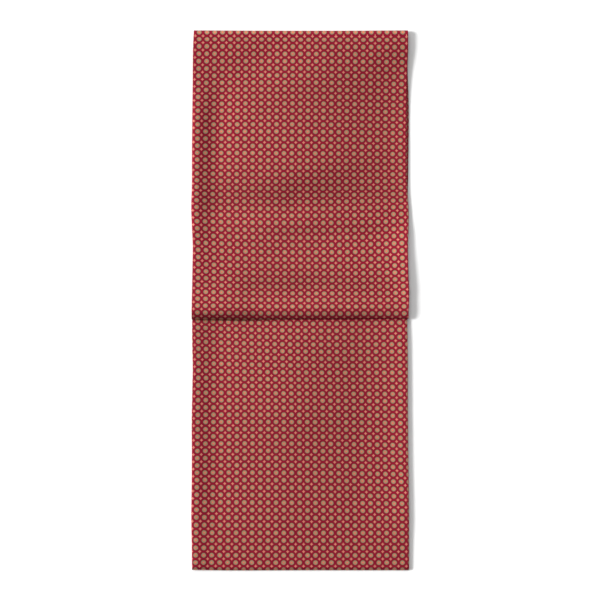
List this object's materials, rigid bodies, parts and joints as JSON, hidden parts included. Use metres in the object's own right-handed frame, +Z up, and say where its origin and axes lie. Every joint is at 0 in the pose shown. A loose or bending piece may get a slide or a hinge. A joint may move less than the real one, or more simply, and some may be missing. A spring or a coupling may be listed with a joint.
{
  "type": "folded silk scarf",
  "caption": "Doubled silk scarf with a small dot print, folded flat so that its upper flap lies over its lower panel.",
  "frame": {"origin": "on the surface that the folded scarf lies on, under the middle of its outline", "axes": "+Y along the scarf, towards the fold at the top of the upper flap; +Z up, out of the surface; +X to the right, seen from above"},
  "size_m": [0.2224, 0.5497, 0.0087],
  "materials": {
    "printed_silk": "satin"
  },
  "bodies": {
    "root": {"upper_flap": "printed_silk", "lower_panel": "printed_silk", "hidden_layers": "printed_silk"}
  },
  "joints": []
}
